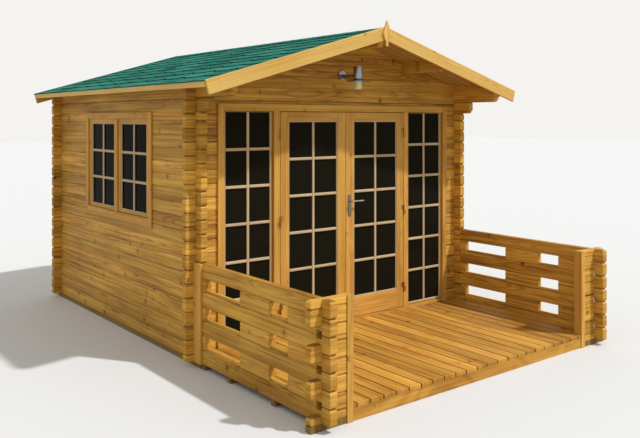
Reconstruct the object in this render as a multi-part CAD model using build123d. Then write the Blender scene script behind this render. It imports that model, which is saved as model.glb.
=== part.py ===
from build123d import *
from math import ceil, cos, floor, radians, sin, tan
import os

# A log cabin of interlocking logs with a glazed double door and a railed veranda.
# Millimetres. Z is up, the front faces -Y, and the cabin stands on level ground at Z = 0.
# While a piece is modelled, the front wall's outer face is Y = 0 and the underside of the
# lowest log is Z = 0. The last step moves every piece to the origin under the middle.

# Log walls
cabin_depth = 3000.0
corner_log_length = 215.0
log_thickness = 55.0
log_height = 109.0
logs_over_doors = 1
eave_log_courses = 2
eave_log_drop = 38.0
stub_length = 85.0
groove_depth = 4.0
groove_rise = 11.0
end_bevel = 14.0

# Ground beams and floor
bearer_height = 40.0
bearer_width = 60.0
floor_bearers = 4
floor_thickness = 19.0

# Roof
roof_pitch = 16.2
roof_board_thickness = 16.0
eave_overhang = 221.0
front_overhang = 543.0
rear_overhang = 165.0
eave_board_thickness = 20.0
eave_board_height = 42.0
bargeboard_thickness = 20.0
bargeboard_depth = 108.0
bargeboard_cover = 1.0
shingle_courses = 10
shingle_butt = 7.0
shingle_head = 3.0
shingle_lip = 6.0
ridge_cap_width = 130.0
ridge_cap_thickness = 4.0
purlin_width = 55.0
purlin_spacing = 750.0
side_purlin_drop = 94.0
ridge_purlin_drop = 140.0
purlin_set_back = 23.0
purlin_rear_set_back = 20.0
purlin_nose_height = 62.0
console_set_back = 3.0
short_console_reach = 196.0
console_nose_height = 45.0
nose_slant = 0.75
finial_rise = 74.0
finial_width = 88.0
finial_tip_width = 6.0
finial_spire = 98.0
finial_shoulder = 22.0
finial_belly = 76.0
finial_tail = 40.0
finial_tail_width = 22.0
finial_thickness = 16.0

# Door wall
unit_top = 1966.0
leaf_width = 709.5
sidelight_width = 478.0
frame_depth = 70.0
casing_overlap = 25.0
casing_thickness = 20.0
jamb_width = 30.0
mullion_width = 60.0
head_height = 34.0
sill_height = 34.0
sash_thickness = 40.0
glass_thickness = 4.0
glass_rebate = 8.0
bar_width = 24.0
bar_set_back = 5.0
sidelight_stile = 26.0
sidelight_bottom_rail = 24.0
sidelight_top_rail = 8.0
sidelight_rows = 6
moving_gap = 5.0
leaf_meeting_stile = 101.5
leaf_hanging_stile = 95.0
leaf_top_rail = 86.0
leaf_bottom_rail = 184.0
leaf_rows = 5

# Door furniture
hinge_count = 3
hinge_height = 90.0
hinge_radius = 6.0
hinge_flap = 26.0
hinge_flap_thickness = 2.0
hinge_end_distance = 190.0
hinge_stand_off = 1.0
knuckle_gap = 0.3
lever_height = 1135.0
lever_backset = 42.0
plate_width = 34.0
plate_height = 190.0
plate_thickness = 7.0
plate_corner_radius = 10.0
plate_drop = 38.0
lever_face_gap = 0.5
lever_length = 125.0
lever_radius = 8.0
lever_stand_off = 40.0
spindle_radius = 5.0
spindle_clearance = 0.6

# Side windows
window_centre = 1478.0
window_half_width = 707.0
window_height = 920.0
window_drop = 19.0
window_frame_side = 42.0
window_frame_end = 30.0
window_mullion = 44.0
window_batten_width = 60.0
window_casing_width = 60.0
window_apron_height = 80.0
window_casing_proud = 15.0
window_stile = 63.0
window_bottom_rail = 39.0
window_top_rail = 54.0
window_rows = 3

# Veranda
veranda_depth = 1570.0
panel_courses = 7
tongue_height = 21.0
tongue_width = 18.0
spacer_near_length = 60.0
spacer_middle_length = 360.0
spacer_far_length = 438.0
short_gap_length = 217.0
return_length = 200.0
post_width = 50.0
post_proud = 8.0
post_groove = 15.0
post_slot_set_back = 5.0
post_slot_width = 20.0
post_slot_depth = 12.0
cover_width = 108.0
cover_thickness = 20.0
cover_set_back = 1.0
deck_top = 68.0
deck_board_thickness = 28.0
deck_board_width = 111.0
deck_gap_least = 4.0
joist_width = 45.0
near_joist_gap = 10.0
middle_joist_gap = 516.0
front_joist_gap = 455.0

# Wall lamp
lamp_above_doors = 267.0
lamp_offset = -35.0
lamp_reach = 222.0
rose_radius = 40.0
rose_thickness = 16.0
arm_drop = 14.0
arm_wall_radius = 20.0
arm_lamp_radius = 11.0
lamp_body_radius = 40.0
lamp_body_height = 108.0
lamp_body_drop = 42.0
shade_radius = 101.0
shade_collar_radius = 44.0
shade_fall = 20.0
shade_rim = 4.0
shade_thickness = 6.0
lamp_glass_radius = 35.0
lamp_glass_height = 86.0
lamp_glass_rounding = 14.0

# Worked out from the sizes above
mullion_inner = moving_gap / 2 + leaf_width + moving_gap
sidelight_inner = mullion_inner + mullion_width
jamb_inner = sidelight_inner + sidelight_width
unit_half_width = jamb_inner + jamb_width
half_width = unit_half_width + corner_log_length
inner_half_width = half_width - log_thickness
casing_top = unit_top + casing_overlap
front_joint = log_height / 2
sill_top = front_joint
lintel_bottom = front_joint + floor((unit_top - front_joint) / log_height) * log_height
gable_bottom = lintel_bottom + log_height
wall_courses = ceil(casing_top / log_height) + logs_over_doors
wall_top = wall_courses * log_height
slope = tan(radians(roof_pitch))
ridge_underside = wall_top + half_width * slope
top_log_bottom = wall_top - log_height - eave_log_drop
eave_log_bottom = wall_top - eave_log_courses * log_height - eave_log_drop
window_top = eave_log_bottom - window_drop
window_bottom = window_top - window_height
panel_top = panel_courses * log_height
return_front = -veranda_depth
return_back = return_front + log_thickness
panel_front = return_front - stub_length
rear_face = cabin_depth
rear_inner = cabin_depth - log_thickness
roof_half_width = half_width + eave_overhang
roof_front = -front_overhang + bargeboard_thickness
roof_rear = rear_face + rear_overhang - bargeboard_thickness
purlin_reach = front_overhang - bargeboard_thickness - purlin_set_back
console_reach = front_overhang - bargeboard_thickness - console_set_back
purlin_rear_reach = rear_overhang - bargeboard_thickness - purlin_rear_set_back
post_inner = half_width - return_length - post_width
post_outer = half_width - return_length
hinge_axis_y = -casing_thickness - hinge_radius - hinge_stand_off
lamp_height = casing_top + lamp_above_doors
origin_y = (panel_front + rear_face + rear_overhang) / 2
far = 10000.0


def block(x0, x1, y0, y1, z0, z1):
    """A rectangular piece between two corners."""
    return Solid.make_box(x1 - x0, y1 - y0, z1 - z0).moved(Location((x0, y0, z0)))


def prism(points, direction):
    """A flat outline pushed along a direction."""
    return Solid.extrude(Face(Wire.make_polygon(points)), Vector(*direction))


def join(pieces):
    """One solid from pieces that overlap or share faces."""
    return pieces[0].fuse(*pieces[1:]).clean()


def cut(piece, tools):
    """The piece less all the tools."""
    return piece.cut(*tools)


def solids_of(shape):
    """The separate solids of whatever an operation returns."""
    if isinstance(shape, (list, tuple)):
        return [solid for item in shape for solid in solids_of(item)]
    return list(shape.solids())


def log_outline(bottom, top, first_joint):
    """The section of stacked logs as (distance from the outer face, height) points.

    Each joint between two courses is a V groove on both faces.
    """
    near = [(groove_depth, bottom), (0.0, bottom + groove_rise)]
    joint = first_joint
    while joint < top - groove_rise:
        if joint > bottom + groove_rise:
            near += [(0.0, joint - groove_rise), (groove_depth, joint), (0.0, joint + groove_rise)]
        joint += log_height
    near += [(0.0, top - groove_rise), (groove_depth, top)]
    back = [(log_thickness - across, height) for across, height in reversed(near)]
    return near + back


def logs_along_x(x0, x1, outer_y, bottom, top, first_joint):
    """Stacked logs that run from left to right."""
    points = [(x0, outer_y + across, height) for across, height in log_outline(bottom, top, first_joint)]
    return prism(points, (x1 - x0, 0, 0))


def logs_along_y(y0, y1, outer_x, bottom, top, first_joint=0.0):
    """Stacked logs that run from front to back."""
    points = [(outer_x + across, y0, height) for across, height in log_outline(bottom, top, first_joint)]
    return prism(points, (0, y1 - y0, 0))


def bevel_outline(bottom, top, first_joint):
    """What the bevels of stacked log ends take off, as (distance in from the end, height) points."""
    near = [(-1.0, bottom - 1), (end_bevel, bottom - 1), (end_bevel, bottom), (0.0, bottom + end_bevel)]
    joint = first_joint
    while joint < top - end_bevel:
        if joint > bottom + end_bevel:
            near += [(0.0, joint - end_bevel), (end_bevel, joint), (0.0, joint + end_bevel)]
        joint += log_height
    return near + [(0.0, top - end_bevel), (end_bevel, top), (end_bevel, top + 1), (-1.0, top + 1)]


def bevels_at_x(x, inwards, outer_y, bottom, top):
    """The bevels at one end of logs that run from left to right."""
    points = [(x + inwards * along, outer_y - 1, height)
              for along, height in bevel_outline(bottom, top, front_joint)]
    return prism(points, (0, log_thickness + 2, 0))


def bevels_at_y(y, inwards, outer_x, bottom, top, first_joint=0.0):
    """The bevels at one end of logs that run from front to back."""
    points = [(outer_x - 1, y + inwards * along, height)
              for along, height in bevel_outline(bottom, top, first_joint)]
    return prism(points, (log_thickness + 2, 0, 0))


def columns(y_list):
    """The square columns where side logs cross the logs that start at each Y, on both sides."""
    return [(x, y) for x in (-half_width, inner_half_width) for y in y_list]


def cross_log_notches(y_list, bottom, top):
    """What the cross logs take out of the side logs: a quarter of a log above and below each joint."""
    notches = []
    for x, y in columns(y_list):
        for course in range(wall_courses):
            low = (course - 0.25) * log_height
            high = (course + 0.25) * log_height
            if high > bottom and low < top:
                notches.append(block(x, x + log_thickness, y, y + log_thickness,
                                     max(low, bottom - 1), min(high, top + 1)))
    return notches


def side_log_notches(y_list, bottom, top):
    """What the side logs take out of the cross logs: the middle half of each side log."""
    notches = []
    for x, y in columns(y_list):
        for course in range(wall_courses):
            low = (course + 0.25) * log_height
            high = (course + 0.75) * log_height
            if course == wall_courses - 1:
                high = far
            if high > bottom and low < top:
                notches.append(block(x, x + log_thickness, y, y + log_thickness,
                                     max(low, bottom - 1), min(high, top + 1)))
    return notches


def roof_underside(x):
    """Height of the roof boards' underside at a distance from the middle."""
    return ridge_underside - abs(x) * slope


def above_roof_boards(y0, y1):
    """Everything above the roof boards' underside."""
    points = [(-far, y0, roof_underside(far)), (0, y0, ridge_underside), (far, y0, roof_underside(far)),
              (far, y0, far), (-far, y0, far)]
    return prism(points, (0, y1 - y0, 0))


def roof_point(side, along, above, y):
    """A point given by its distance down the slope from the ridge and its height off the boards' underside."""
    angle = radians(roof_pitch)
    x = along * cos(angle) + above * sin(angle)
    z = ridge_underside - along * sin(angle) + above * cos(angle)
    return (side * x, y, z)


def on_slope(side, outline, y0, y1):
    """A piece that lies on the slope, from an outline of (down the slope, off the boards) points."""
    return prism([roof_point(side, along, above, y0) for along, above in outline], (0, y1 - y0, 0))


def shaped_end(bottom, tip, x0, x1, reach_back, top, height):
    """A log end with an ogee nose: a bulge above and a hollow below, back to the underside."""
    drop = height / 2
    run = drop * nose_slant
    upper = (tip, bottom + height)
    middle = (tip + run, bottom + drop)
    lower = (tip + 2 * run, bottom)
    bulge = (tip + run * 0.25, bottom + drop + drop * 0.3)
    hollow = (tip + run + run * 0.28, bottom + drop * 0.3)
    edges = [
        Edge.make_line((x0, tip, top), (x0, *upper)),
        Edge.make_three_point_arc((x0, *upper), (x0, *bulge), (x0, *middle)),
        Edge.make_three_point_arc((x0, *middle), (x0, *hollow), (x0, *lower)),
        Edge.make_line((x0, *lower), (x0, reach_back, bottom)),
        Edge.make_line((x0, reach_back, bottom), (x0, reach_back, top)),
        Edge.make_line((x0, reach_back, top), (x0, tip, top)),
    ]
    return Solid.extrude(Face(Wire(edges)), Vector(x1 - x0, 0, 0))


def outside_nose(bottom, tip, x0, x1, height):
    """What is sawn off a log to leave an ogee nose of a height."""
    run = height * nose_slant
    blank = block(x0, x1, tip - 1, tip + run, bottom - 1, bottom + height)
    return cut(blank, [shaped_end(bottom, tip, x0 - 1, x1 + 1, tip + 2 * run, bottom + 2 * height, height)])


def glazed_sash(width, height, thickness, stiles, rails, rows):
    """A sash with bars on both faces of one sheet of glass.

    Its outer face is Y = 0 and it stands on Z = 0, centred on X = 0. The stiles are the left
    and the right one, and the rails are the bottom and the top one.
    """
    half = width / 2
    light = (-half + stiles[0], half - stiles[1], rails[0], height - rails[1])
    centre = (light[0] + light[1]) / 2
    mid = thickness / 2
    glass_near = mid - glass_thickness / 2
    glass_far = mid + glass_thickness / 2
    sash = block(-half, half, 0, thickness, 0, height)
    sash = cut(sash, [
        block(light[0], light[1], -1, thickness + 1, light[2], light[3]),
        block(light[0] - glass_rebate, light[1] + glass_rebate, glass_near, glass_far,
              light[2] - glass_rebate, light[3] + glass_rebate),
    ])
    bars = []
    for near, behind in ((bar_set_back, glass_near), (glass_far, thickness - bar_set_back)):
        bars.append(block(centre - bar_width / 2, centre + bar_width / 2, near, behind, light[2], light[3]))
        pitch = (light[3] - light[2]) / rows
        for row in range(1, rows):
            level = light[2] + row * pitch
            bars.append(block(light[0], light[1], near, behind, level - bar_width / 2, level + bar_width / 2))
    sash = join([sash] + bars)
    glass = block(light[0] - glass_rebate, light[1] + glass_rebate, glass_near, glass_far,
                  light[2] - glass_rebate, light[3] + glass_rebate)
    return sash, glass


def place(pieces, x, y, z, turn=0):
    """Turns pieces about Z and moves them into place."""
    return [piece.moved(Location((x, y, z), (0, 0, turn))) for piece in pieces]


def mirrored(pieces):
    """The same pieces on the other side of the cabin."""
    return [piece.mirror(Plane.YZ) for piece in pieces]


def side_bearers():
    """Flat beams on the ground under the side walls and under the front returns."""
    beams = []
    for side in (-1, 1):
        x0, x1 = sorted((side * half_width, side * (half_width - bearer_width)))
        beams.append(block(x0, x1, -stub_length, rear_face + stub_length, -bearer_height, 0))
        x0, x1 = sorted((side * post_outer, side * (half_width + stub_length)))
        beams.append(block(x0, x1, return_front, return_back, -bearer_height, 0))
    return beams


def cross_bearers():
    """Flat beams between the side beams, under the front and rear walls and the floor."""
    clear = half_width - bearer_width
    pitch = (cabin_depth - bearer_width) / (floor_bearers - 1)
    return [block(-clear, clear, line * pitch, line * pitch + bearer_width, -bearer_height, 0)
            for line in range(floor_bearers)]


def cabin_floor():
    """The inside floor, on the bearers."""
    return block(-inner_half_width, inner_half_width, log_thickness, rear_inner, 0, floor_thickness)


def cross_wall(x0, x1, outer_y, bottom, top):
    """A piece of a wall that runs from left to right, notched for the side logs."""
    wall = logs_along_x(x0, x1, outer_y, bottom, top, front_joint)
    notches = side_log_notches([outer_y], bottom, top)
    for x in (x0, x1):
        if abs(x) > half_width:
            notches.append(bevels_at_x(x, -x / abs(x), outer_y, bottom, top))
    return cut(wall, notches + [above_roof_boards(outer_y - 1, outer_y + log_thickness + 1)])


def sill_log():
    """The half log under the doors, across the whole front."""
    reach = half_width + stub_length
    return cross_wall(-reach, reach, 0, 0, sill_top)


def front_wall(side):
    """The short logs between a corner and the door frame."""
    reach = half_width + stub_length
    x0, x1 = sorted((side * reach, side * unit_half_width))
    return cross_wall(x0, x1, 0, sill_top, lintel_bottom)


def lintel_log():
    """The log over the doors, notched for the head of the frame."""
    reach = half_width + stub_length
    log = cross_wall(-reach, reach, 0, lintel_bottom, gable_bottom)
    return cut(log, [block(-unit_half_width, unit_half_width, -1, log_thickness + 1,
                           lintel_bottom - 1, unit_top)])


def gable(outer_y, bottom, purlins):
    """Logs across one end, up to the roof, with holes for the purlins."""
    reach = half_width + stub_length
    wall = cross_wall(-reach, reach, outer_y, bottom, ridge_underside)
    return cut(wall, purlins)


def side_wall():
    """The left wall below its two eave logs, with its window hole and its corner notches."""
    wall = logs_along_y(-stub_length, rear_face + stub_length, -half_width, 0, eave_log_bottom)
    notches = cross_log_notches([0, rear_inner], 0, eave_log_bottom)
    for y, inwards in ((-stub_length, 1), (rear_face + stub_length, -1)):
        notches.append(bevels_at_y(y, inwards, -half_width, 0, eave_log_bottom))
    window = block(-half_width - 1, -inner_half_width + 1, window_centre - window_half_width,
                   window_centre + window_half_width, window_bottom, window_top)
    return cut(wall, notches + [window])


def eave_logs():
    """The left wall's two top logs, which run out under the roof as stepped consoles."""
    rear = rear_face + stub_length
    lower = logs_along_y(-short_console_reach, rear, -half_width, eave_log_bottom, top_log_bottom,
                         top_log_bottom)
    upper = logs_along_y(-console_reach, rear, -half_width, top_log_bottom, ridge_underside, ridge_underside)
    x0, x1 = -half_width - 1, -inner_half_width + 1
    return cut(join([lower, upper]), cross_log_notches([0, rear_inner], eave_log_bottom, wall_top) + [
        above_roof_boards(-console_reach - 1, rear + 1),
        bevels_at_y(rear, -1, -half_width, eave_log_bottom, ridge_underside, top_log_bottom),
        outside_nose(top_log_bottom, -console_reach, x0, x1, console_nose_height),
        outside_nose(eave_log_bottom, -short_console_reach, x0, x1, console_nose_height),
    ])


def purlin(centre_x, drop):
    """A roof beam along Y, bevelled to the slope, with shaped ends."""
    x0 = centre_x - purlin_width / 2
    x1 = centre_x + purlin_width / 2
    bottom = roof_underside(centre_x) - drop
    beam = block(x0, x1, -purlin_reach, rear_face + purlin_rear_reach, bottom, ridge_underside + 1)
    return cut(beam, [
        above_roof_boards(-purlin_reach - 1, rear_face + purlin_rear_reach + 1),
        outside_nose(bottom, -purlin_reach, x0 - 1, x1 + 1, purlin_nose_height),
    ])


def slope_length(x, above):
    """Distance down the slope at which a line square to the boards reaches a given X."""
    angle = radians(roof_pitch)
    return (x - above * sin(angle)) / cos(angle)


def roof_boards(side):
    """The boarding of one roof slope."""
    eave = slope_length(roof_half_width - eave_board_thickness, 0)
    at_ridge = -roof_board_thickness * tan(radians(roof_pitch))
    outline = [(0, 0), (eave, 0), (eave, roof_board_thickness), (at_ridge, roof_board_thickness)]
    return on_slope(side, outline, roof_front, roof_rear)


def shingle_levels():
    """Where the shingle courses start, from the ridge down to the eave."""
    eave = slope_length(roof_half_width + shingle_lip, roof_board_thickness)
    return [eave * course / shingle_courses for course in range(shingle_courses + 1)]


def roof_shingles(side):
    """Felt shingles in stepped courses, each lapping the one below."""
    base = roof_board_thickness
    levels = shingle_levels()
    ridge = -(base + shingle_head) * tan(radians(roof_pitch))
    foot = -base * tan(radians(roof_pitch))
    outline = [(foot, base), (levels[-1], base), (levels[-1], base + shingle_butt)]
    for upper in reversed(levels[1:-1]):
        outline += [(upper, base + shingle_head), (upper, base + shingle_butt)]
    outline.append((ridge, base + shingle_head))
    return on_slope(side, outline, roof_front, roof_rear)


def ridge_cap():
    """The strip of shingle folded over the ridge."""
    angle = radians(roof_pitch)
    low = roof_board_thickness + shingle_head
    pitch_of_top = (shingle_butt - shingle_head) / (shingle_levels()[1] + low * tan(angle))
    halves = []
    for side in (-1, 1):
        ridge_low = -low * tan(angle)
        at_edge = low + pitch_of_top * (ridge_cap_width + low * tan(angle))
        outer_ridge = -(low + ridge_cap_thickness) * tan(angle)
        outline = [(ridge_low, low), (ridge_cap_width, at_edge),
                   (ridge_cap_width, at_edge + ridge_cap_thickness), (outer_ridge, low + ridge_cap_thickness)]
        halves.append(on_slope(side, outline, roof_front, roof_rear))
    return join(halves)


def bargeboard(side, y0):
    """A board along one slope at a gable, plumb-cut at the top and square at the foot."""
    top = roof_board_thickness + shingle_butt + bargeboard_cover
    low = top - bargeboard_depth
    foot = slope_length(roof_half_width, top)
    outline = [(-low * slope, low), (foot, low), (foot, top), (-top * slope, top)]
    return on_slope(side, outline, y0, y0 + bargeboard_thickness)


def finial(y0):
    """The board over the joint of two bargeboards: a straight spire, a round belly and a narrow tail."""
    tip = ridge_underside + finial_rise
    shoulder = tip - finial_spire
    turn = shoulder - finial_shoulder
    tail = shoulder - finial_belly
    foot = tail - finial_tail
    half = finial_width / 2
    half_tail = finial_tail_width / 2
    outline = [
        ((finial_tip_width / 2, tip), None, (half * 0.95, shoulder)),
        ((half * 0.95, shoulder), (half, (shoulder + turn) / 2), (half * 0.88, turn)),
        ((half * 0.88, turn), ((half + half_tail) / 2 + 1, (turn + tail) / 2), (half_tail, tail)),
        ((half_tail, tail), None, (half_tail, foot)),
    ]
    edges = [Edge.make_line((-finial_tip_width / 2, y0, tip), (finial_tip_width / 2, y0, tip)),
             Edge.make_line((-half_tail, y0, foot), (half_tail, y0, foot))]
    for side in (-1, 1):
        for start, through, end in outline:
            ends = [(side * x, y0, z) for x, z in (start, end)]
            if through:
                edges.append(Edge.make_three_point_arc(ends[0], (side * through[0], y0, through[1]), ends[1]))
            else:
                edges.append(Edge.make_line(*ends))
    return Solid.extrude(Face(Wire(edges)), Vector(0, finial_thickness, 0))


def eave_board(side):
    """The narrow board over the ends of the roof boards along an eave."""
    top = roof_board_thickness
    inner = slope_length(roof_half_width - eave_board_thickness, 0)
    outer = inner + eave_board_thickness
    outline = [(inner, top - eave_board_height), (outer, top - eave_board_height), (outer, top), (inner, top)]
    return on_slope(side, outline, roof_front, roof_rear)


def frame_uprights():
    """The two jambs with their casing, which runs up past the head, and the two mullions."""
    low = sill_top + sill_height
    high = unit_top - head_height
    uprights = []
    for side in (-1, 1):
        x0, x1 = sorted((side * jamb_inner, side * unit_half_width))
        jamb = block(x0, x1, 0, frame_depth, low, high)
        x0, x1 = sorted((side * jamb_inner, side * (unit_half_width + casing_overlap)))
        casing = block(x0, x1, -casing_thickness, 0, low, casing_top)
        uprights.append(join([jamb, casing]))
        x0, x1 = sorted((side * mullion_inner, side * sidelight_inner))
        uprights.append(block(x0, x1, -casing_thickness, frame_depth, low, high))
    return uprights


def frame_head():
    """The head of the door frame, with the casing between the two side casings."""
    head = block(-unit_half_width, unit_half_width, 0, frame_depth, unit_top - head_height, unit_top)
    casing = block(-jamb_inner, jamb_inner, -casing_thickness, 0, unit_top - head_height, casing_top)
    return join([head, casing])


def frame_sill():
    """The threshold, which stands on the half log."""
    reach = unit_half_width + casing_overlap
    sill = block(-unit_half_width, unit_half_width, 0, frame_depth, sill_top, sill_top + sill_height)
    nose = block(-reach, reach, -casing_thickness, 0, sill_top, sill_top + sill_height)
    return join([sill, nose])


def sidelights():
    """The fixed glazed sashes beside the doors."""
    low = sill_top + sill_height
    high = unit_top - head_height
    sash, glass = glazed_sash(sidelight_width, high - low, sash_thickness, (sidelight_stile, sidelight_stile),
                              (sidelight_bottom_rail, sidelight_top_rail), sidelight_rows)
    centre = (sidelight_inner + jamb_inner) / 2
    sashes = []
    panes = []
    for side in (-1, 1):
        sashes += place([sash], side * centre, 0, low)
        panes += place([glass], side * centre, 0, low)
    return sashes, panes


def window_frame():
    """The frame of a side window with the boards round it, seen from outside with its sill at Z = 0."""
    half = window_half_width
    height = window_height
    frame = block(-half, half, 0, log_thickness, 0, height)
    frame = cut(frame, [block(x0, x1, -1, log_thickness + 1, window_frame_end, height - window_frame_end)
                        for x0, x1 in window_lights()])
    low = window_frame_end - window_apron_height
    inner = window_casing_width - casing_overlap
    casing = block(-half - casing_overlap, half + casing_overlap, -window_casing_proud, 0, low,
                   height + casing_overlap)
    casing = cut(casing, [block(-half + inner, half - inner, -window_casing_proud - 1, 1, window_frame_end,
                                height - inner)])
    batten = block(-window_batten_width / 2, window_batten_width / 2, -window_casing_proud, 0,
                   window_frame_end, height - inner)
    return join([frame, casing, batten])


def window_lights():
    """The two stretches of a side window that its sashes fill."""
    near = window_mullion / 2
    far_side = window_half_width - window_frame_side
    return [(-far_side, -near), (near, far_side)]


def window_unit():
    """The left side window: a frame with casing, and two glazed sashes."""
    lights = window_lights()
    sash, glass = glazed_sash(lights[1][1] - lights[1][0], window_height - 2 * window_frame_end, sash_thickness,
                              (window_stile, window_stile), (window_bottom_rail, window_top_rail), window_rows)
    sashes = []
    panes = []
    for x0, x1 in lights:
        sashes += place([sash], (x0 + x1) / 2, 0, window_frame_end)
        panes += place([glass], (x0 + x1) / 2, 0, window_frame_end)
    return [place(pieces, -half_width, window_centre, window_bottom, -90)
            for pieces in ([window_frame()], sashes, panes)]


def spindle_bore():
    """The hole that the lever's spindle turns in."""
    return Solid.make_cylinder(spindle_radius + spindle_clearance, far,
                               Plane((lever_backset, far / 2, lever_height), z_dir=(0, -1, 0)))


def door_leaf(side):
    """One leaf of the double door and its glass. The right leaf is bored for the lever's spindle."""
    low = sill_top + sill_height + moving_gap
    high = unit_top - head_height - moving_gap
    stiles = (leaf_meeting_stile, leaf_hanging_stile)
    if side < 0:
        stiles = (leaf_hanging_stile, leaf_meeting_stile)
    leaf, glass = glazed_sash(leaf_width, high - low, sash_thickness, stiles, (leaf_bottom_rail, leaf_top_rail),
                              leaf_rows)
    leaf, glass = place([leaf, glass], side * (moving_gap + leaf_width) / 2, -casing_thickness, low)
    if side > 0:
        leaf = cut(leaf, [spindle_bore()])
    return leaf, glass


def hinge_levels():
    """The heights of the middles of the hinges."""
    low = sill_top + sill_height + hinge_end_distance
    high = unit_top - head_height - hinge_end_distance
    return [low + (high - low) * number / (hinge_count - 1) for number in range(hinge_count)]


def hinge_axis_x(side):
    return side * (mullion_inner - moving_gap / 2)


def hinges(side, on_leaf):
    """One half of each hinge: its knuckle, and the flap that is screwed to the leaf or the mullion."""
    halves = []
    face = -casing_thickness
    x = hinge_axis_x(side)
    for level in hinge_levels():
        if on_leaf:
            low, high = level + knuckle_gap / 2, level + hinge_height / 2
            edge = x - side * (moving_gap / 2)
            tip = edge - side * hinge_flap
        else:
            low, high = level - hinge_height / 2, level - knuckle_gap / 2
            edge = x + side * (moving_gap / 2)
            tip = edge + side * hinge_flap
        knuckle = Solid.make_cylinder(hinge_radius, high - low, Plane((x, hinge_axis_y, low)))
        x0, x1 = sorted((tip, x))
        flap = block(x0, x1, face - hinge_flap_thickness, face, low, high)
        halves.append(join([knuckle, flap]))
    return halves


def handle_plates():
    """The long plates on both faces of the active leaf, bored for the spindle."""
    plates = []
    centre_z = lever_height - plate_drop
    for y0 in (-casing_thickness - plate_thickness, -casing_thickness + sash_thickness):
        plate = block(lever_backset - plate_width / 2, lever_backset + plate_width / 2, y0, y0 + plate_thickness,
                      centre_z - plate_height / 2, centre_z + plate_height / 2)
        rounded = plate.fillet(plate_corner_radius, plate.edges().filter_by(Axis.Y))
        plates.append(cut(rounded, [spindle_bore()]))
    return plates


def lever_handle():
    """The spindle with a lever at each end, in one piece."""
    out_face = -casing_thickness - plate_thickness
    in_face = -casing_thickness + sash_thickness + plate_thickness
    front = out_face - lever_stand_off
    back = in_face + lever_stand_off
    spindle = Solid.make_cylinder(spindle_radius, back - front, Plane((lever_backset, back, lever_height),
                                                                      z_dir=(0, -1, 0)))
    pieces = [spindle]
    for y, neck_end in ((front, out_face - lever_face_gap), (back, in_face + lever_face_gap)):
        start, end = sorted((y, neck_end))
        pieces.append(Solid.make_cylinder(lever_radius, end - start, Plane((lever_backset, end, lever_height),
                                                                           z_dir=(0, -1, 0))))
        pieces.append(Solid.make_sphere(lever_radius, angle1=-90, angle2=90,
                                        plane=Plane((lever_backset, y, lever_height))))
        pieces.append(Solid.make_cylinder(lever_radius, lever_length, Plane((lever_backset, y, lever_height),
                                                                            z_dir=(1, 0, 0))))
        pieces.append(Solid.make_sphere(lever_radius, angle1=-90, angle2=90,
                                        plane=Plane((lever_backset + lever_length, y, lever_height))))
    return join(pieces)


def rail_courses():
    """The courses of a side panel that are whole logs."""
    return range(0, panel_courses, 2)


def panel_spans():
    """The stretches of the spacer blocks along Y, from the front."""
    far_end = panel_front + spacer_far_length
    middle = far_end + short_gap_length
    return [(panel_front, far_end), (middle, middle + spacer_middle_length),
            (-stub_length - spacer_near_length, -stub_length)]


def tongue(y0, y1, level):
    """The tongue that shows on a log where nothing stands on it."""
    middle = -half_width + log_thickness / 2
    return block(middle - tongue_width / 2, middle + tongue_width / 2, y0, y1, level, level + tongue_height)


def panel_rails():
    """The whole logs of the left side panel, with their tongues in the gaps."""
    rails = []
    spans = panel_spans()
    for course in rail_courses():
        low = course * log_height
        high = low + log_height
        rail = logs_along_y(panel_front, -stub_length, -half_width, low, high, low)
        if course + 1 < panel_courses:
            gaps = [(spans[0][1], spans[1][0]), (spans[1][1], spans[2][0])]
            rail = join([rail] + [tongue(y0, y1, high) for y0, y1 in gaps])
        notches = cross_log_notches([return_front], low, high)
        notches.append(bevels_at_y(panel_front, 1, -half_width, low, high, low))
        if course == panel_courses - 1:
            notches.append(block(-half_width, -inner_half_width, return_front, return_back,
                                 high - log_height / 4, high + 1))
        rails.append(cut(rail, notches))
    return rails


def panel_spacers():
    """The short blocks between the whole logs of the left side panel."""
    blocks = []
    for course in range(1, panel_courses, 2):
        low = course * log_height
        high = low + log_height
        for y0, y1 in panel_spans():
            spacer = logs_along_y(y0, y1, -half_width, low, high, low)
            if y0 < return_back:
                spacer = cut(spacer, cross_log_notches([return_front], low, high) + [
                    bevels_at_y(panel_front, 1, -half_width, low, high, low)])
            blocks.append(spacer)
    return blocks


def front_return():
    """The left front return: logs that pass through the panel in turn with logs that stop at it."""
    inner = -post_outer + post_groove
    outer = -half_width - stub_length
    logs = logs_along_x(outer, inner, return_front, 0, panel_top, front_joint)
    notches = [bevels_at_x(outer, 1, return_front, 0, panel_top)]
    for course in range(panel_courses):
        notches.append(block(-half_width, -inner_half_width, return_front, return_back,
                             (course + 0.25) * log_height, (course + 0.75) * log_height))
    for course in range(1, panel_courses, 2):
        low = (course - 0.5) * log_height
        notches.append(block(outer - 1, -inner_half_width, return_front - 1, return_back + 1,
                             low, low + log_height))
    return cut(logs, notches)


def return_post():
    """The post that covers the ends of the left return's logs, grooved to take them.

    Its free side has a narrow slot near the front.
    """
    front = return_front - post_proud
    post = block(-post_outer, -post_inner, front, return_back + post_proud, -bearer_height, panel_top)
    groove = block(-post_outer - 1, -post_outer + post_groove, return_front, return_back, 0, panel_top + 1)
    slot_front = front + post_slot_set_back
    slot = block(-post_inner - post_slot_depth, -post_inner + 1, slot_front, slot_front + post_slot_width,
                 deck_top, panel_top + 1)
    return cut(post, [groove, slot])


def joint_cover():
    """The upright board outside the joint of the left panel and the left wall."""
    back = -cover_set_back
    return block(-half_width - cover_thickness, -half_width, back - cover_width, back, 0, panel_top)


def joist_lines():
    """The back face of each deck joist."""
    front = return_front + joist_width + front_joist_gap + joist_width
    middle = front + middle_joist_gap + joist_width
    return [front, middle, -stub_length - near_joist_gap]


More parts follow.
